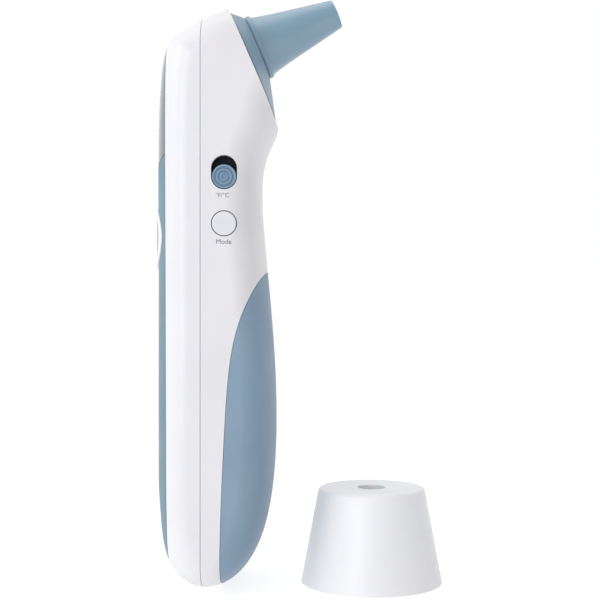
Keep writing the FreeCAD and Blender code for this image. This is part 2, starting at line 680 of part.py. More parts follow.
def main_board():
    board = box((BOARD_X, BOARD_X + BOARD_THICKNESS), (-BOARD_HALF_WIDTH, BOARD_HALF_WIDTH),
                (BOARD_BOTTOM, BOARD_TOP))
    corners = [edge for edge in board.Edges
               if abs(edge.tangentAt(edge.FirstParameter).x) > 0.9]
    board = board.makeFillet(2.5, corners)
    return board.cut([rod(SCREW_RADIUS + 0.1, V(BOARD_X - 1, y, z), X_AXIS, 4)
                      for y, z in BOARD_SCREWS_YZ])


def controller_chips():
    """Controller and amplifier on the back of the board."""
    back = BOARD_X + BOARD_THICKNESS
    return Part.makeCompound([box((back, back + 1.0), (1.5, 10.5), (96, 105)),
                              box((back, back + 1.2), (4, 9), (127, 131))])


def buzzer():
    centre = V(DECK_X + 0.02, 0, 46)
    disc = rod(6.2, centre, X_AXIS, 2.6)
    return disc.cut(rod(0.9, centre + X_AXIS * 1.4, X_AXIS, 2))


# ---------------------------------------------------------------- battery compartment

def cell_centres():
    return [V(CELL_X, side * CELL_SPACING / 2, 0) for side in (-1, 1)]


def batteries():
    """Two cells, one up and one down, each with its flat end on a spring."""
    body = Part.makeCylinder(CELL_RADIUS, CELL_LENGTH)
    rims = [edge for edge in body.Edges if edge.Curve.TypeId == "Part::GeomCircle"]
    body = body.makeFillet(0.4, rims)
    upright = body.fuse(rod(1.9, V(0, 0, CELL_LENGTH - 1), Z_AXIS, CELL_NUB + 1))
    upright = upright.removeSplitter()
    inverted = upright.copy()
    inverted.rotate(V(0, 0, 0), X_AXIS, 180)
    first, second = cell_centres()
    upright.translate(first + Z_AXIS * (BAY_FLOOR + SPRING_LENGTH))
    inverted.translate(second + Z_AXIS * (BAY_ROOF - SPRING_LENGTH))
    return Part.makeCompound([upright, inverted])


def battery_springs():
    """Coil springs between the flat ends of the cells and the contacts."""
    rise = (SPRING_LENGTH - 2 * SPRING_WIRE - 0.04) / (2 * SPRING_TURNS)
    half_turn = Part.makeTorus(SPRING_RADIUS, SPRING_WIRE, V(0, 0, 0), Z_AXIS, 0, 360, 180)
    half_turn.rotate(V(0, 0, 0), Y_AXIS, math.degrees(math.asin(rise / 2 / SPRING_RADIUS)))
    turns = []
    for step in range(2 * SPRING_TURNS):
        turn = half_turn.copy()
        turn.rotate(V(0, 0, 0), Z_AXIS, 180 * step)
        turn.translate(Z_AXIS * (SPRING_WIRE + 0.02 + rise * (step + 0.5)))
        turns.append(turn)
    spring = turns[0].fuse(turns[1:])
    first, second = cell_centres()
    feet = [first + Z_AXIS * BAY_FLOOR, second + Z_AXIS * (BAY_ROOF - SPRING_LENGTH)]
    return Part.makeCompound([spring.translated(foot) for foot in feet])


def battery_contacts():
    """Plates at the cells' ends: a bridge below and two terminals above."""
    y = TRAY_HALF_WIDTH - TRAY_WALL - 0.4
    floor = (BAY_FLOOR - CONTACT_THICKNESS, BAY_FLOOR)
    roof = (BAY_ROOF, BAY_ROOF + CONTACT_THICKNESS)
    x = (CELL_X - 4.2, CELL_X + 4.2)
    return Part.makeCompound([box(x, (-y, y), floor), box(x, (-y, -1), roof),
                              box(x, (1, y), roof)])


def battery_tray():
    """Cradle open to the back, with a low fence between the cells."""
    x = (SEAM_X + 0.5, CELL_X + CELL_RADIUS - 0.2)
    outside = box(x, (-TRAY_HALF_WIDTH, TRAY_HALF_WIDTH), (TRAY_BOTTOM, TRAY_TOP))
    y = TRAY_HALF_WIDTH - TRAY_WALL
    inside = box((x[0] + TRAY_WALL, x[1] + 1), (-y, y),
                 (TRAY_BOTTOM + TRAY_WALL, TRAY_TOP - TRAY_WALL))
    fence = box((x[0] + 0.5, x[0] + 2.2), (-0.35, 0.35), (TRAY_BOTTOM + 3, TRAY_TOP - 3))
    tray = outside.cut(inside).fuse(fence)
    return tray.common(casing(SHELF_INNER + 0.05)).removeSplitter()


def battery_leads():
    """Two leads from the terminals up to the board's lower edge."""
    leads = []
    for side in (-1, 1):
        y = side * 8.0
        leads.append(wire_run([V(-22.5, y, TRAY_TOP + 0.02), V(-22.5, y, TRAY_TOP + 5.5),
                               V(-24.6, y * 0.75, TRAY_TOP + 9.5),
                               V(BOARD_X + BOARD_THICKNESS + 0.5, y * 0.75, BOARD_BOTTOM + 4)],
                              0.45))
    return Part.makeCompound(leads)


# ---------------------------------------------------------------- fasteners

def pan_screw(seat, direction, length):
    """Screw with a cross recess; seat is under its head, and direction is where it points."""
    head = Part.makeCylinder(SCREW_HEAD_RADIUS, SCREW_HEAD_HEIGHT, V(0, 0, -SCREW_HEAD_HEIGHT))
    shank = Part.makeCylinder(SCREW_RADIUS - 0.18, length)
    screw = head.fuse(shank)
    for turn in (0, 90):
        blade = Part.makeBox(2.2, 0.5, 1.0, V(-1.1, -0.25, -SCREW_HEAD_HEIGHT - 0.2))
        blade.rotate(V(0, 0, 0), Z_AXIS, turn)
        screw = screw.cut(blade)
    screw.Placement = FreeCAD.Placement(seat, FreeCAD.Rotation(Z_AXIS, direction))
    return screw


def case_screws():
    return Part.makeCompound([pan_screw(V(CASE_SCREW_SEAT_X, 0, z), V(-1, 0, 0), 11)
                              for z in CASE_SCREW_Z])


def board_screws():
    seat_x = BOARD_X + BOARD_THICKNESS
    return Part.makeCompound([pan_screw(V(seat_x, y, z), V(-1, 0, 0), 5)
                              for y, z in BOARD_SCREWS_YZ])


# ---------------------------------------------------------------- forehead cap

def cap_cone(shrink, height):
    """Plain truncated cone of the cap's outer form, drawn in by shrink."""
    slope = (CAP_BASE_RADIUS - CAP_TOP_RADIUS) / CAP_HEIGHT
    base = CAP_BASE_RADIUS - shrink
    return Part.makeCone(base, base - slope * height, height)


def forehead_cap():
    """Hollow cap with a hole in its top and an inner sleeve that grips the probe cone."""
    outside = cap_cone(0, CAP_HEIGHT)
    rims = [edge for edge in outside.Edges if edge.Curve.TypeId == "Part::GeomCircle"]
    outside = outside.makeFillet(CAP_EDGE, [max(rims, key=lambda rim: rim.CenterOfMass.z)])
    shell = outside.cut(cap_cone(CAP_WALL, CAP_HEIGHT - CAP_WALL))
    # where the cone's foot lies when its tip ends under the hole
    cone_foot = Z_AXIS * (CAP_HEIGHT - CAP_HOLE_LENGTH - CONE_LENGTH - SLEEVE_CLEARANCE)
    grip = cone_solid(SLEEVE_CLEARANCE)
    grip.translate(cone_foot)
    jacket = cone_solid(SLEEVE_CLEARANCE + SLEEVE_WALL)
    jacket.translate(cone_foot)
    upper = box((-FAR, FAR), (-FAR, FAR), (CAP_HEIGHT - SLEEVE_DEPTH, CAP_HEIGHT - CAP_WALL / 2))
    long, thin, height = (-17, 17), (-0.6, 0.6), (9, 24)
    ribs = box(thin, long, height).fuse(box(long, thin, height))
    inside = jacket.common(upper).fuse(ribs).common(cap_cone(CAP_WALL / 2, CAP_HEIGHT - 0.5))
    cap = shell.fuse(inside).removeSplitter().cut(grip)
    cap = cap.cut(rod(CAP_HOLE_RADIUS, V(0, 0, 0), Z_AXIS, CAP_HEIGHT + 1))
    cap.translate(V(CAP_X, 0, 0))
    return cap


# ---------------------------------------------------------------- output

NODES = [
    front_shell, rear_shell, front_panel, display_lens, battery_cover,
    probe_collar, probe_cone, probe_window, sensor_tube, thermopile_sensor, sensor_holder,
    sensor_ribbon,
    scan_button, scan_switch, scan_switch_plunger,
    mode_button, mode_switch, mode_switch_plunger,
    unit_slider, slider_carriage, unit_switch, unit_switch_lever, side_board,
    lcd_glass, lcd_frame, lcd_connector_strips, backlight_plate, main_board, controller_chips,
    buzzer,
    batteries, battery_springs, battery_contacts, battery_tray, battery_leads,
    case_screws, board_screws,
    forehead_cap,
]

os.makedirs("parts", exist_ok=True)
for build in NODES:
    shape = build()
    print(build.__name__, len(shape.Solids), shape.isValid(), round(shape.Volume, 1))
    shape.exportStep(f"parts/{build.__name__}.step")
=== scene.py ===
import math

import bmesh
import bpy
from mathutils import Matrix, Vector
from mathutils.bvhtree import BVHTree


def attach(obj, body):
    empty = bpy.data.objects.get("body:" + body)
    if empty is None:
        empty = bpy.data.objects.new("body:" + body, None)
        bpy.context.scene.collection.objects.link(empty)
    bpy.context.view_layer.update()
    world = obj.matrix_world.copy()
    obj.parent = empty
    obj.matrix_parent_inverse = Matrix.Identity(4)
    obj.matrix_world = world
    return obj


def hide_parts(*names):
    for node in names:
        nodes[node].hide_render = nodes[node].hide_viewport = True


# An infrared ear and forehead thermometer with its forehead cap, on a white studio floor.
# Metres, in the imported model's frame: +Z up, -X the display side, +X where the probe points,
# -Y the side with the slider and the mode button.

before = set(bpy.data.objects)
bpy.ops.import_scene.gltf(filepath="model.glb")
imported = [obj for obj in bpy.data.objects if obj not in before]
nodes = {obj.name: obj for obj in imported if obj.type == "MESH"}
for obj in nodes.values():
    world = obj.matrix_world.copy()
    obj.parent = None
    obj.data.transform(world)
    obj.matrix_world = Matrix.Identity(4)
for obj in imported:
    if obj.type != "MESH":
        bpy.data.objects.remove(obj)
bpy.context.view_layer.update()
MM = 0.001

# ---------------------------------------------------------------- sizes of the parts, mm

HALF_WIDTH = 19.0
EDGE_DEPTH = 9.0
EDGE_POWER = 2.2
FRONT_X = -37.8
PLATE_THICKNESS = 1.6
CONTROL_X = -19.35
SLOT_Z = 107.15
SCAN_Z = 92.1
SCAN_HALF_WIDTH = 12.5
SCAN_HALF_HEIGHT = 8.3
SCAN_FLANGE = 1.5
SCAN_FLANGE_GAP = 0.15
SCAN_FLANGE_THICKNESS = 1.0
SCAN_SIDES = 96                 # vertices round the scan button
SCAN_STEM_RADIUS = 1.8
SCAN_STEM_END = -32.45
SCAN_GROOVE = 0.86              # where the oval groove runs, from 0 in the middle to 1 at the edge
WINDOW_Z = 125.8
WINDOW_HALF_HEIGHT = 9.7
WINDOW_HALF_WIDTH = 9.9
DISPLAY_X = -33.3               # front of the display cell
LENS_FADE = (-36.7, -35.0)      # x of the start and end of the lens's darker edge: its dark side wall plus painted shade of the gap to the shell
BAY_MIDDLE_Z = 41.7             # middle of the battery bay
BAND_START = 10.3               # from there to the copper band of either cell
PROBE_TILT = 23.5
PROBE_BASE = Vector((-11.6, 0, 143.6))
COLLAR_HEIGHT = 3.5
CONE_FOOT_RADIUS = 8.8
CONE_TIP_RADIUS = 3.95
CONE_LENGTH = 23.4
SPIGOT_RADIUS = 6.6
SPIGOT_DEPTH = 3.0
TUBE_BORE_RADIUS = 2.66
KNOB_RADIUS = 3.1

# ---------------------------------------------------------------- sizes of the studio, m

FLOOR_RADIUS = 6.0
CAMERA_DISTANCE = 0.324
CAMERA_HEIGHT = 0.0757


def probe_placement():
    """Turns +Z onto the probe's axis, with the origin at the cone's foot."""
    return Matrix.Translation(PROBE_BASE) @ Matrix.Rotation(math.radians(90 - PROBE_TILT), 4, "Y")


# ---------------------------------------------------------------- node helpers

def linear(*swatch):
    """Linear colour of an 8-bit sRGB swatch."""
    channels = []
    for value in swatch:
        c = value / 255
        channels.append(c / 12.92 if c <= 0.04045 else ((c + 0.055) / 1.055) ** 2.4)
    return (*channels, 1.0)


def start_material(name, **sockets):
    """New material; sockets sets its shader's inputs, with _ for a space in their names."""
    material = bpy.data.materials.new(name)
    material.use_nodes = True
    shader = material.node_tree.nodes["Principled BSDF"]
    for socket, value in sockets.items():
        shader.inputs[socket.replace("_", " ")].default_value = value
    return material, material.node_tree, shader


def feed(tree, socket, value):
    """Links an output to a socket, or sets the socket to a constant."""
    if isinstance(value, bpy.types.NodeSocket):
        tree.links.new(value, socket)
    else:
        socket.default_value = value


def add(tree, kind, inputs, output=0, **settings):
    """Adds a node and returns one output; inputs maps a socket to a value or to an output."""
    made = tree.nodes.new(kind)
    for name, value in settings.items():
        setattr(made, name, value)
    for name, value in inputs.items():
        feed(tree, made.inputs[name], value)
    return made.outputs[output]


def split(tree, place):
    """The X, Y and Z of a vector, as three outputs."""
    made = tree.nodes.new("ShaderNodeSeparateXYZ")
    tree.links.new(place, made.inputs[0])
    return made.outputs[:]


def place_on(tree, stretch=(1, 1, 1), turn=(0, 0, 0)):
    """Coordinates in the object's own space, in metres, stretched and turned."""
    place = add(tree, "ShaderNodeTexCoord", {}, "Object")
    return add(tree, "ShaderNodeMapping", {"Vector": place, "Scale": stretch, "Rotation": turn})


def noise(tree, place, size, detail=2.0, roughness=0.5):
    """Noise from 0 to 1 whose blobs are about size metres across."""
    return add(tree, "ShaderNodeTexNoise", {"Vector": place, "Scale": 1 / size, "Detail": detail,
                                            "Roughness": roughness})


def spread(tree, factor, low, high, source=(0.3, 0.7)):
    """Maps a factor to the range from low to high."""
    return add(tree, "ShaderNodeMapRange", {"Value": factor, "From Min": source[0],
                                            "From Max": source[1], "To Min": low, "To Max": high})


def blend(tree, factor, first, second):
    """Mix of two colours."""
    made = tree.nodes.new("ShaderNodeMix")
    made.data_type = "RGBA"
    for index, value in ((0, factor), (6, first), (7, second)):
        feed(tree, made.inputs[index], value)
    return made.outputs[2]


def calc(tree, operation, first, second=0.0):
    """Result of a maths node; an operation on one value ignores the second."""
    return add(tree, "ShaderNodeMath", {0: first, 1: second}, operation=operation)


def bump(tree, height, depth, strength=1.0):
    """Normal bumped by a height from 0 to 1 that stands for depth metres."""
    return add(tree, "ShaderNodeBump", {"Height": height, "Distance": depth, "Strength": strength})


def hairlines(tree, turn):
    """Sparse fine scratches: 1 in a scratch, 0 elsewhere."""
    streaks = noise(tree, place_on(tree, (1, 1, 0.03), turn), 0.0004, 1.0)
    patches = noise(tree, place_on(tree), 0.012, 1.0)
    lines = spread(tree, streaks, 0, 1, (0.70, 0.74))
    return calc(tree, "MULTIPLY", lines, spread(tree, patches, 0, 1, (0.52, 0.62)))


# ---------------------------------------------------------------- materials

def moulded(name, base, shade, gloss, grain=0.0005, relief=6e-6, drift_size=0.03, **sockets):
    """Moulded plastic: slow drift of colour, uneven gloss, mould grain and a few hairlines."""
    material, tree, shader = start_material(name, **sockets)
    place = place_on(tree)
    drift = noise(tree, place, drift_size, 3.0)
    tree.links.new(blend(tree, spread(tree, drift, 0, 1), base, shade), shader.inputs["Base Color"])
    handling = noise(tree, place, 0.007, 5.0, 0.6)
    scratch = hairlines(tree, (0.4, 0.9, 0.2))
    rough = calc(tree, "ADD", spread(tree, handling, gloss - 0.05, gloss + 0.06),
                 calc(tree, "MULTIPLY", scratch, 0.18))
    tree.links.new(rough, shader.inputs["Roughness"])
    skin = calc(tree, "SUBTRACT", noise(tree, place, grain, 2.0),
                calc(tree, "MULTIPLY", scratch, 0.5))
    tree.links.new(bump(tree, skin, relief), shader.inputs["Normal"])
    return material


def white_shell():
    return moulded("white_shell", linear(220, 219, 223), linear(214, 213, 218), 0.34,
                   IOR=1.48, Subsurface_Weight=0.05, Subsurface_Scale=0.002)


def front_white():
    """The front frame is moulded in a slightly cooler white than the rear shell."""
    return moulded("front_white", linear(220, 220, 224), linear(215, 215, 220), 0.34,
                   IOR=1.48, Subsurface_Weight=0.05, Subsurface_Scale=0.002)


def white_cap():
    return moulded("white_cap", linear(230, 230, 233), linear(223, 224, 228), 0.38, relief=8e-6,
                   IOR=1.5, Subsurface_Weight=0.12, Subsurface_Scale=0.004)


def button_white():
    return moulded("button_white", linear(214, 215, 219), linear(208, 209, 214), 0.3,
                   IOR=1.5, Coat_Weight=0.15, Coat_Roughness=0.2)


def blue_grip():
    """Satin grip with a spark-eroded grain and gloss that varies a little from place to place."""
    return moulded("blue_grip", linear(129, 152, 173), linear(120, 144, 165), 0.50, grain=0.0004,
                   relief=1.6e-5, drift_size=0.02, IOR=1.46)


def blue_panel():
    return moulded("blue_panel", linear(108, 138, 150), linear(102, 131, 145), 0.5, grain=0.0004,
                   relief=1.0e-5, drift_size=0.02, IOR=1.4)


def blue_probe():
    return moulded("blue_probe", linear(124, 152, 172), linear(117, 146, 166), 0.36, grain=0.0003,
                   relief=5e-6, drift_size=0.012, IOR=1.5, Coat_Weight=0.35, Coat_Roughness=0.22)


def blue_collar():
    """The collar's blue, painted lighter than the cone's to make up for the cone's shade, with
    painted shade in the groove at the head's face.
    """
    # painted light: the same blue plastic as the cone, given lighter colours to offset the shade
    # the cone casts on the collar
    material = moulded("blue_collar", linear(135, 160, 178), linear(127, 152, 171), 0.42,
                       grain=0.0003, relief=5e-6, drift_size=0.012, IOR=1.46)
    tree = material.node_tree
    shader = tree.nodes["Principled BSDF"]
    outwards = probe_placement().to_quaternion() @ Vector((0, 0, 1))
    height = add(tree, "ShaderNodeVectorMath", {0: place_on(tree), 1: outwards}, "Value",
                 operation="DOT_PRODUCT")
    face = (PROBE_BASE.dot(outwards) - COLLAR_HEIGHT) * MM
    # painted shade: dark within 0.3 mm of the head's face, fading out by 0.45 mm, where the groove
    # is
    clear_of_painted_shade = spread(tree, height, 0, 1, (face + 0.3 * MM, face + 0.45 * MM))
    plastic = shader.inputs["Base Color"].links[0].from_socket
    tree.links.new(blend(tree, clear_of_painted_shade, linear(62, 76, 90), plastic), shader.inputs["Base Color"])
    return material


def blue_knob():
    return moulded("blue_knob", linear(124, 149, 172), linear(114, 140, 164), 0.34, grain=0.0003,
                   relief=5e-6, drift_size=0.004, IOR=1.48)


def display_lens():
    """Acrylic lens backed with grey print, clear over the display, its edge darker: dark side wall
    plus painted shade of the gap to the shell.
    """
    material, tree, shader = start_material("display_lens", IOR=1.44)
    place = place_on(tree)
    smear = noise(tree, place, 0.006, 5.0, 0.6)
    tree.links.new(spread(tree, smear, 0.03, 0.08), shader.inputs["Roughness"])
    x, y, z = split(tree, place)
    across = calc(tree, "ABSOLUTE", y)
    from_middle = calc(tree, "SUBTRACT", z, WINDOW_Z * MM)
    upright = calc(tree, "ABSOLUTE", from_middle)
    window = calc(tree, "MULTIPLY", calc(tree, "LESS_THAN", across, WINDOW_HALF_WIDTH * MM),
                  calc(tree, "LESS_THAN", upright, WINDOW_HALF_HEIGHT * MM))
    mist = noise(tree, place, 0.02, 2.0)
    face = blend(tree, spread(tree, mist, 0, 1), linear(118, 123, 127), linear(112, 117, 122))
    # darker towards x = -35 mm, where the lens meets the shell: partly the acrylic's own dark side
    # wall, partly painted shade of the gap
    edge_wall_and_shade = spread(tree, x, 0, 1, (LENS_FADE[0] * MM, LENS_FADE[1] * MM))
    backing = blend(tree, edge_wall_and_shade, face, linear(108, 113, 119))
    tree.links.new(blend(tree, window, backing, linear(236, 240, 240)), shader.inputs["Base Color"])
    tree.links.new(spread(tree, window, 0.0, 0.97, (0, 1)), shader.inputs["Transmission Weight"])
    return material


def display_glass():
    """Grey-green liquid-crystal cell with the faint grid of its electrodes."""
    material, tree, shader = start_material("display_glass", Roughness=0.22, IOR=1.5,
                                            Coat_Weight=0.5, Coat_Roughness=0.05)
    place = place_on(tree)
    tone = noise(tree, place, 0.01, 3.0)
    lines = add(tree, "ShaderNodeTexWave", {"Vector": place, "Scale": 900.0, "Distortion": 0.0},
                "Fac", bands_direction="Z")
    base = blend(tree, spread(tree, tone, 0, 1), linear(158, 168, 156), linear(150, 160, 150))
    tree.links.new(blend(tree, spread(tree, lines, 0.0, 0.06, (0, 1)), base, linear(90, 100, 95)),
                   shader.inputs["Base Color"])
    return material


def metal(name, base, shade, rough, brushed=(1, 1, 1)):
    """Metal with brush marks or a fine matte finish and a little tarnish."""
    material, tree, shader = start_material(name, Metallic=1.0)
    tarnish = noise(tree, place_on(tree), 0.003, 4.0)
    tree.links.new(blend(tree, spread(tree, tarnish, 0, 1), base, shade),
                   shader.inputs["Base Color"])
    marks = noise(tree, place_on(tree, brushed), 0.0002, 3.0)
    tree.links.new(spread(tree, marks, rough - 0.06, rough + 0.08), shader.inputs["Roughness"])
    tree.links.new(bump(tree, marks, 4e-6), shader.inputs["Normal"])
    return material


def infrared_window():
    return metal("infrared_window", linear(58, 60, 70), linear(40, 42, 52), 0.12)


def sensor_metal():
    return metal("sensor_metal", linear(196, 188, 170), linear(178, 168, 148), 0.25, (1, 1, 8))


def contact_metal():
    return metal("contact_metal", linear(205, 205, 200), linear(180, 180, 176), 0.28, (1, 8, 1))


def screw_steel():
    return metal("screw_steel", linear(176, 178, 182), linear(150, 152, 158), 0.32, (8, 1, 1))


def scan_finish():
    """White rim round a satin grey middle, split along the oval groove."""
    material, tree, shader = start_material("scan_finish", IOR=1.5)
    place = place_on(tree)
    middle = add(tree, "ShaderNodeMapping", {
        "Vector": place, "Location": (0, 0, -SCAN_Z / SCAN_HALF_HEIGHT),
        "Scale": (0, 1000 / SCAN_HALF_WIDTH, 1000 / SCAN_HALF_HEIGHT)})
    outwards = add(tree, "ShaderNodeVectorMath", {0: middle}, "Value", operation="LENGTH")
    rim = spread(tree, outwards, 0, 1, (SCAN_GROOVE - 0.005, SCAN_GROOVE + 0.005))
    tone = noise(tree, place, 0.01, 3.0)
    satin = blend(tree, spread(tree, tone, 0, 1), linear(158, 160, 164), linear(150, 152, 157))
    tree.links.new(blend(tree, rim, satin, linear(226, 227, 230)), shader.inputs["Base Color"])
    tree.links.new(spread(tree, noise(tree, place, 0.0003, 2.0), 0.3, 0.46),
                   shader.inputs["Roughness"])
    return material


def inner_plastic():
    return moulded("inner_plastic", linear(206, 208, 210), linear(192, 195, 198), 0.5)


def black_plastic():
    return moulded("black_plastic", linear(8, 13, 25), linear(5, 9, 19), 0.7, IOR=1.3)


def switch_body():
    return moulded("switch_body", linear(52, 54, 58), linear(40, 42, 46), 0.48)


def black_rubber():
    return moulded("black_rubber", linear(34, 34, 36), linear(25, 25, 27), 0.75, grain=0.0003,
                   relief=2e-5)


def light_guide():
    return moulded("light_guide", linear(232, 236, 232), linear(222, 228, 224), 0.2,
                   Subsurface_Weight=0.3, Subsurface_Scale=0.003)


def lead_insulation():
    return moulded("lead_insulation", linear(170, 34, 30), linear(150, 26, 24), 0.42)


def ribbon_film():
    """Amber film with copper tracks along its length."""
    material, tree, shader = start_material("ribbon_film", Roughness=0.3, IOR=1.6)
    tracks = add(tree, "ShaderNodeTexWave", {"Vector": place_on(tree), "Scale": 320.0,
                                             "Distortion": 0.0}, "Fac", bands_direction="Y")
    tree.links.new(blend(tree, spread(tree, tracks, 0, 1, (0.4, 0.6)), linear(196, 116, 34),
                         linear(160, 84, 24)), shader.inputs["Base Color"])
    tree.links.new(bump(tree, tracks, 2e-5), shader.inputs["Normal"])
    return material


def circuit_board():
    """Green solder mask over copper tracks, with gold pads."""
    material, tree, shader = start_material("circuit_board", IOR=1.5)
    place = place_on(tree)
    cells = tree.nodes.new("ShaderNodeTexVoronoi")
    cells.distance = "MANHATTAN"
    cells.feature = "F1"
    cells.inputs["Scale"].default_value = 420.0
    tree.links.new(place, cells.inputs["Vector"])
    tracks = spread(tree, cells.outputs["Distance"], 0, 1, (0.44, 0.47))
    mask = blend(tree, tracks, linear(22, 92, 54), linear(34, 118, 70))
    pads = spread(tree, cells.outputs["Distance"], 1, 0, (0.10, 0.12))
    tree.links.new(blend(tree, pads, mask, linear(206, 170, 90)), shader.inputs["Base Color"])
    tree.links.new(spread(tree, noise(tree, place, 0.004, 3.0), 0.25, 0.4),
                   shader.inputs["Roughness"])
    tree.links.new(bump(tree, tracks, 2e-5), shader.inputs["Normal"])
    return material


def cell_jacket():
    """Battery jacket: graphite with a broad copper band at the positive end, under a clear film."""
    material, tree, shader = start_material("cell_jacket", Roughness=0.22, Metallic=0.4,
                                            Coat_Weight=0.4, Coat_Roughness=0.06)
    place = place_on(tree)
    _, y, z = split(tree, place)
    from_middle = calc(tree, "SUBTRACT", z, BAY_MIDDLE_Z * MM)
    # the flat end is the upper one on the +Y cell and the lower one on the -Y cell
    to_flat_end = calc(tree, "MULTIPLY", from_middle, calc(tree, "SIGN", y))
    band = calc(tree, "LESS_THAN", to_flat_end, -BAND_START * MM)
    tone = noise(tree, place, 0.004, 3.0)
    graphite = blend(tree, spread(tree, tone, 0, 1), linear(52, 54, 60), linear(42, 44, 50))
    tree.links.new(blend(tree, band, graphite, linear(190, 120, 70)), shader.inputs["Base Color"])
    tree.links.new(spread(tree, noise(tree, place, 0.001, 2.0), 0.16, 0.3),
                   shader.inputs["Roughness"])
    return material


def label_ink():
    """Grey pad-printed ink, thinning a little at random."""
    material, tree, shader = start_material("label_ink", Roughness=0.5)
    patches = noise(tree, place_on(tree), 0.0006, 2.0)
    tree.links.new(blend(tree, spread(tree, patches, 0, 1), linear(90, 95, 101),
                         linear(108, 112, 118)), shader.inputs["Base Color"])
    return material


def segment_ink():
    """Nearly black liquid-crystal segments."""
    material, tree, shader = start_material("segment_ink", Roughness=0.3, IOR=1.3)
    patches = noise(tree, place_on(tree), 0.002, 2.0)
    tree.links.new(blend(tree, spread(tree, patches, 0, 1), linear(16, 20, 20),
                         linear(24, 28, 28)), shader.inputs["Base Color"])
    return material


def studio_white():
    """Matte white studio floor with a faint paper texture."""
    material, tree, shader = start_material("studio_white", Roughness=0.9, IOR=1.0,
                                            Emission_Strength=0.8,
                                            Emission_Color=(1, 1, 1, 1))
    fibre = noise(tree, place_on(tree), 0.004, 3.0)
    tree.links.new(blend(tree, spread(tree, fibre, 0, 1), linear(144, 144, 144),
                         linear(140, 140, 140)), shader.inputs["Base Color"])
    return material


SLOT_FINISHES = [
    white_shell, white_cap, blue_grip, blue_probe, blue_knob, display_lens, button_white,
    infrared_window, sensor_metal, inner_plastic, ribbon_film, switch_body, black_plastic,
    circuit_board, display_glass, black_rubber, light_guide, cell_jacket, contact_metal,
    lead_insulation, screw_steel,
]
finishes = {make.__name__: make() for make in SLOT_FINISHES}
node_finishes = {
    "front_shell": front_white(), "front_panel": blue_panel(), "probe_collar": blue_collar(),
}


def finish_cad_nodes():
    """Gives every material slot of every CAD node its finish."""
    for name, node in nodes.items():
        for slot in node.material_slots:
            slot_name = slot.material.name.split(".")[0]
            slot.material = node_finishes.get(name, finishes[slot_name])


# ---------------------------------------------------------------- mesh helpers

def piece_from(name, data, material, body, stands_for=()):
    """Links finished mesh data as a piece that rides on a body."""
    piece = bpy.data.objects.new(name, data)
    bpy.context.scene.collection.objects.link(piece)
    data.materials.append(material)
    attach(piece, body)
    if stands_for:
        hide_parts(*stands_for)
    return piece


def angles(sides):
    """Angles of the points of a ring with this many sides."""
    return [2 * math.pi * step / sides for step in range(sides)]


def mesh_data(mesh, name):
    """Turns a finished bmesh into mesh data, and frees it."""
    data = bpy.data.meshes.new(name)
    mesh.to_mesh(data)
    mesh.free()
    return data


def smooth(mesh):
    """Turns a bmesh's faces outwards and shades them smooth."""
    bmesh.ops.recalc_face_normals(mesh, faces=mesh.faces)
    for face in mesh.faces:
        face.smooth = True


def softened(corners, steps=5):
    """Open profile from (radius, height, rounding) corners, each corner rounded by its rounding."""
    points = [Vector(corners[0][:2])]
    for before, corner, after in zip(corners, corners[1:], corners[2:]):
        middle = Vector(corner[:2])
        if corner[2] == 0:
            points.append(middle)
            continue
        start = middle + (Vector(before[:2]) - middle).normalized() * corner[2]
        end = middle + (Vector(after[:2]) - middle).normalized() * corner[2]
        for step in range(steps + 1):
            t = step / steps
            points.append(start * (1 - t) ** 2 + middle * 2 * t * (1 - t) + end * t ** 2)
    points.append(Vector(corners[-1][:2]))
    return points


def smooth_through(points, steps=6):
    """Catmull-Rom curve through points of one profile."""
    ends = [points[0] * 2 - points[1]] + points + [points[-1] * 2 - points[-2]]
    curve = []
    for a, b, c, d in zip(ends, ends[1:], ends[2:], ends[3:]):
        for step in range(steps):
            t = step / steps
            curve.append(0.5 * (2 * b + (c - a) * t + (2 * a - 5 * b + 4 * c - d) * t ** 2
                                + (3 * b - a - 3 * c + d) * t ** 3))
    curve.append(points[-1])
    return curve


def turned(profile, placement, sides=112):
    """Mesh turned about +Z from a closed profile in mm, then placed.

    A point of the profile that lies on the axis closes the mesh there.
    """
    mesh = bmesh.new()
    rings = []
    for radius, height in profile:
        if radius < 1e-6:       # on the axis
            rings.append([mesh.verts.new((0, 0, height))])
            continue
        rings.append([mesh.verts.new((radius * math.cos(a), radius * math.sin(a), height))
                      for a in angles(sides)])
    for low, high in zip(rings, rings[1:] + rings[:1]):
        for step in range(sides):
            after = (step + 1) % sides
            corners = [low[step % len(low)], low[after % len(low)],
                       high[after % len(high)], high[step % len(high)]]
            corners = list(dict.fromkeys(corners))
            if len(corners) > 2:
                mesh.faces.new(corners)
    smooth(mesh)
    mesh.transform(Matrix.Scale(MM, 4) @ placement)
    return mesh_data(mesh, "turned")


def even_shading(piece):
    """Keeps the flat faces flat beside their rounded edges."""
    shading = piece.modifiers.new("even_shading", "WEIGHTED_NORMAL")
    shading.keep_sharp = True


# ---------------------------------------------------------------- probe

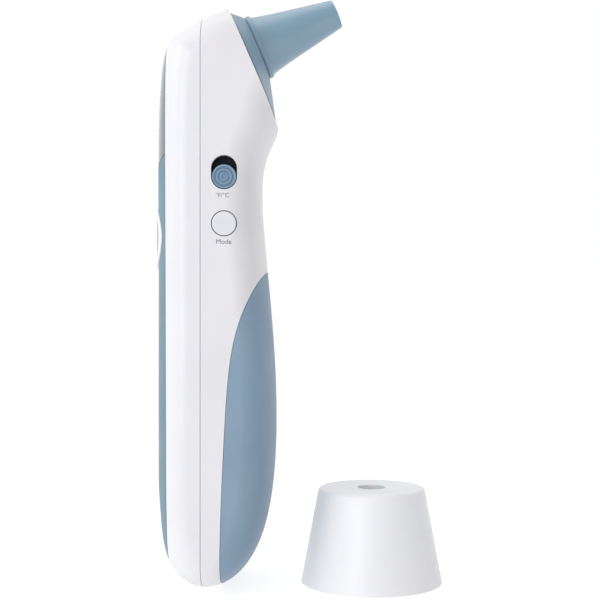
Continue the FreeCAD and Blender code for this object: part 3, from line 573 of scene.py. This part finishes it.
def build_probe_cone():
    """Flared cone with a rounded ring at its foot, a rolled lip and the bore for the tube."""
    ring = softened([(8.1, 0, 0), (CONE_FOOT_RADIUS, 0, 0.5), (CONE_FOOT_RADIUS, 1.4, 0.5),
                     (8.2, 1.4, 0)])
    flare = [(8.2, 1.55), (7.75, 3.0), (6.8, 7.4), (5.5, 14.5), (CONE_TIP_RADIUS, 23.0)]
    outside = smooth_through([Vector(point) for point in flare])
    lip = softened([(CONE_TIP_RADIUS, 23.0, 0), (3.88, CONE_LENGTH, 0.25),
                    (2.95, CONE_LENGTH, 0.3), (TUBE_BORE_RADIUS, 22.7, 0)])[1:]
    inside = [Vector((TUBE_BORE_RADIUS, -SPIGOT_DEPTH)), Vector((SPIGOT_RADIUS, -SPIGOT_DEPTH)),
              Vector((SPIGOT_RADIUS, 0.0))]
    data = turned(ring + outside + lip + inside, probe_placement())
    piece = piece_from("probe_cone_skin", data, finishes["blue_probe"], "casing",
                       ["probe_cone"])
    even_shading(piece)


# ---------------------------------------------------------------- controls

def side_placement(x, z, y=-HALF_WIDTH):
    """Turns +Z outwards from the control side, onto a point of it."""
    return Matrix.Translation((x, y, z)) @ Matrix.Rotation(math.radians(90), 4, "X")


def front_surface(y):
    """x of the casing's front face at a distance y from the mid-plane."""
    a = math.asin((abs(y) / HALF_WIDTH) ** (EDGE_POWER / 2))
    return FRONT_X + EDGE_DEPTH * (1 - math.cos(a) ** (2 / EDGE_POWER))


def oval_ring(mesh, half_width, half_height, lift):
    """Ring of vertices on an oval round the scan button's middle, lifted off the front."""
    ring = []
    for a in angles(SCAN_SIDES):
        y = half_width * math.cos(a)
        z = SCAN_Z + half_height * math.sin(a)
        ring.append(mesh.verts.new((front_surface(y) - lift, y, z)))
    return ring


def stem_ring(mesh, x):
    """Ring of vertices round the scan button's stem."""
    ring = []
    for a in angles(SCAN_SIDES):
        y = SCAN_STEM_RADIUS * math.cos(a)
        z = SCAN_Z + SCAN_STEM_RADIUS * math.sin(a)
        ring.append(mesh.verts.new((x, y, z)))
    return ring


def build_scan_button():
    """Oval dome wrapped over the front: raised rim, groove and satin middle, with its flange."""
    mesh = bmesh.new()
    # how far out, 1 being the button's edge, and the lift off the front there
    face = [(0.1, 0.42), (0.3, 0.42), (0.5, 0.43), (0.7, 0.45), (0.8, 0.46), (0.84, 0.42),
            (0.85, 0.3), (SCAN_GROOVE, 0.2), (0.87, 0.3), (0.88, 0.44), (0.91, 0.5), (0.95, 0.5),
            (0.98, 0.42), (0.995, 0.28), (1.0, 0.1)]
    flange_top = PLATE_THICKNESS + SCAN_FLANGE_GAP
    flange_back = flange_top + SCAN_FLANGE_THICKNESS
    flange = (SCAN_HALF_WIDTH + SCAN_FLANGE, SCAN_HALF_HEIGHT + SCAN_FLANGE)
    rings = [oval_ring(mesh, SCAN_HALF_WIDTH * outwards, SCAN_HALF_HEIGHT * outwards, lift)
             for outwards, lift in face]
    rings.append(oval_ring(mesh, SCAN_HALF_WIDTH, SCAN_HALF_HEIGHT, -flange_top))
    rings += [oval_ring(mesh, *flange, -flange_top), oval_ring(mesh, *flange, -flange_back)]
    rings += [stem_ring(mesh, FRONT_X + flange_back + 0.05), stem_ring(mesh, SCAN_STEM_END)]
    for inner, outer in zip(rings, rings[1:]):
        for step in range(len(inner)):
            after = (step + 1) % len(inner)
            mesh.faces.new([inner[step], inner[after], outer[after], outer[step]])
    mesh.faces.new(rings[0])
    mesh.faces.new(rings[-1])
    smooth(mesh)
    mesh.transform(Matrix.Scale(MM, 4))
    data = mesh_data(mesh, "scan_button_dome")
    piece_from("scan_button_dome", data, scan_finish(), "scan_button",
               ["scan_button"])


def build_slider_knob():
    """Round knob with two finger rings round a hollow middle."""
    top = -0.35
    hollow = top - 0.45
    back = -2.2
    corners = [(0, hollow, 0)]
    for inner, outer in ((0.7, 1.0), (1.65, 2.0)):
        corners += [(inner - 0.2, hollow, 0.1), (inner, top, 0.1), (outer, top, 0.1),
                    (outer + 0.2, hollow, 0.1)]
    corners += [(2.4, hollow, 0.1), (2.6, top, 0.12), (KNOB_RADIUS, top, 0.3),
                (KNOB_RADIUS, back, 0), (0, back, 0)]
    data = turned(softened(corners, steps=4), side_placement(CONTROL_X, SLOT_Z), sides=72)
    piece = piece_from("unit_slider_knob", data, finishes["blue_knob"], "unit_slider",
                       ["unit_slider"])
    even_shading(piece)


# ---------------------------------------------------------------- display and printing

SEGMENTS = {            # ends of each bar, in digit widths across and half heights up
    "top": ((0, 2), (1, 2)), "middle": ((0, 1), (1, 1)), "bottom": ((0, 0), (1, 0)),
    "upper_left": ((0, 1), (0, 2)), "upper_right": ((1, 1), (1, 2)),
    "lower_left": ((0, 0), (0, 1)), "lower_right": ((1, 0), (1, 1)),
}
DIGITS = {
    "3": ("top", "middle", "bottom", "upper_right", "lower_right"),
    "6": ("top", "middle", "bottom", "upper_left", "lower_left", "lower_right"),
    "8": tuple(SEGMENTS),
    "C": ("top", "bottom", "upper_left", "lower_left"),
}


def bar(mesh, start, end, width):
    """Pointed bar of the display between two (across, up) points in mm, seen from the front."""
    start, end = Vector(start), Vector(end)
    along = (end - start).normalized() * width / 2
    aside = Vector((-along.y, along.x))
    gap = along * 0.3
    outline = [start + gap, start + along + aside + gap, end - along + aside - gap, end - gap,
               end - along - aside - gap, start + along - aside + gap]
    depth = 0.04
    front = [mesh.verts.new((DISPLAY_X - depth, -p.x, WINDOW_Z + p.y)) for p in outline]
    back = [mesh.verts.new((DISPLAY_X, -p.x, WINDOW_Z + p.y)) for p in outline]
    mesh.faces.new(front)
    mesh.faces.new(back)
    for step in range(len(outline)):
        after = (step + 1) % len(outline)
        mesh.faces.new([front[step], front[after], back[after], back[step]])


def digit(mesh, figure, left, foot, width, half_height, weight):
    """One seven-segment figure; left and foot place its lower left corner."""
    for segment in DIGITS[figure]:
        start, end = [(left + across * width, foot + up * half_height)
                      for across, up in SEGMENTS[segment]]
        bar(mesh, start, end, weight)


def build_reading():
    """A plausible reading, 36.8 C, in seven-segment figures on the display cell."""
    mesh = bmesh.new()
    for figure, left in (("3", -8.6), ("6", -3.6), ("8", 2.6)):
        digit(mesh, figure, left, foot=-5.2, width=3.2, half_height=4.6, weight=0.85)
    digit(mesh, "C", left=7.4, foot=2.0, width=1.4, half_height=1.1, weight=0.4)
    bar(mesh, (1.1, -5.6), (1.1, -4.6), width=0.9)      # the decimal point
    bmesh.ops.recalc_face_normals(mesh, faces=mesh.faces)
    mesh.transform(Matrix.Scale(MM, 4))
    data = mesh_data(mesh, "reading")
    piece_from("lcd_reading", data, segment_ink(), "casing")


def label(text, name, x, z, height):
    """Pad-printed lettering laid onto the control side of the rear shell."""
    curve = bpy.data.curves.new(name, "FONT")
    curve.body = text
    curve.size = height * MM
    curve.align_x = "CENTER"
    curve.align_y = "CENTER"
    writing = bpy.data.objects.new(name, curve)
    bpy.context.scene.collection.objects.link(writing)
    data = bpy.data.meshes.new_from_object(writing)
    bpy.data.objects.remove(writing)
    data.transform(side_placement(x, z).to_quaternion().to_matrix().to_4x4())
    data.transform(Matrix.Translation(Vector((x, -HALF_WIDTH - 1, z)) * MM))
    shell = nodes["rear_shell"]
    surface = BVHTree.FromObject(shell, bpy.context.evaluated_depsgraph_get())
    for vertex in data.vertices:
        hit = surface.ray_cast(vertex.co, Vector((0, 1, 0)))[0]
        vertex.co = hit - Vector((0, 0.02 * MM, 0))
    piece_from(name, data, label_ink(), "casing")


# ---------------------------------------------------------------- studio

def build_floor():
    """Plain round floor, wide enough to reach the horizon."""
    mesh = bmesh.new()
    bmesh.ops.create_circle(mesh, cap_ends=True, segments=128, radius=FLOOR_RADIUS)
    data = mesh_data(mesh, "studio_floor")
    data.materials.append(studio_white())
    floor = bpy.data.objects.new("studio_floor", data)
    bpy.context.scene.collection.objects.link(floor)


def area_light(name, place, target, size, power):
    """Round lamp of this size and power, turned to its target."""
    light = bpy.data.lights.new(name, "AREA")
    light.shape = "DISK"
    light.size = size
    light.energy = power
    lamp = bpy.data.objects.new(name, light)
    bpy.context.scene.collection.objects.link(lamp)
    lamp.location = place
    lamp.rotation_euler = (Vector(target) - Vector(place)).to_track_quat("-Z", "Y").to_euler()


def white_room():
    """World that is white all round, and greyer to the right of the camera and behind it."""
    world = bpy.data.worlds.new("white_room")
    world.use_nodes = True
    tree = world.node_tree
    x, y, _ = split(tree, add(tree, "ShaderNodeTexCoord", {}, "Generated"))
    backwards = calc(tree, "MULTIPLY", y, -0.7)
    shade = calc(tree, "ADD", x, backwards)
    strength = spread(tree, shade, 1.02, 0.5, (0.0, 0.9))
    tree.links.new(strength, tree.nodes["Background"].inputs["Strength"])
    tree.nodes["Background"].inputs["Color"].default_value = (1, 1, 1, 1)
    bpy.context.scene.world = world


def light_studio():
    """Soft key from the upper left, a top light, and a fill to the left of the camera."""
    target = (0, 0, 0.08)
    area_light("key", (-1.0, -0.3, 0.5), target, size=0.7, power=1.6)
    area_light("top", (0.0, 0.1, 1.1), target, size=0.9, power=2.0)
    area_light("fill", (-0.45, -0.85, 0.2), (0.01, 0, 0.03), size=0.5, power=2.3)
    white_room()
    bpy.context.scene.view_settings.view_transform = "Standard"


def place_camera():
    """Level camera that faces the control side, as in the photograph."""
    data = bpy.data.cameras.new("camera")
    data.lens = 72
    data.sensor_width = 36
    camera = bpy.data.objects.new("camera", data)
    bpy.context.scene.collection.objects.link(camera)
    camera.location = (0, -CAMERA_DISTANCE, CAMERA_HEIGHT)
    camera.rotation_euler = (math.radians(90), 0, 0)
    bpy.context.scene.camera = camera


finish_cad_nodes()
build_probe_cone()
build_scan_button()
build_slider_knob()
build_reading()
label("Mode", "mode_label", x=-19.4, z=90.5, height=1.75)
label("°F/°C", "unit_label", x=-19.75, z=102.3, height=1.55)
build_floor()
light_studio()
place_camera()
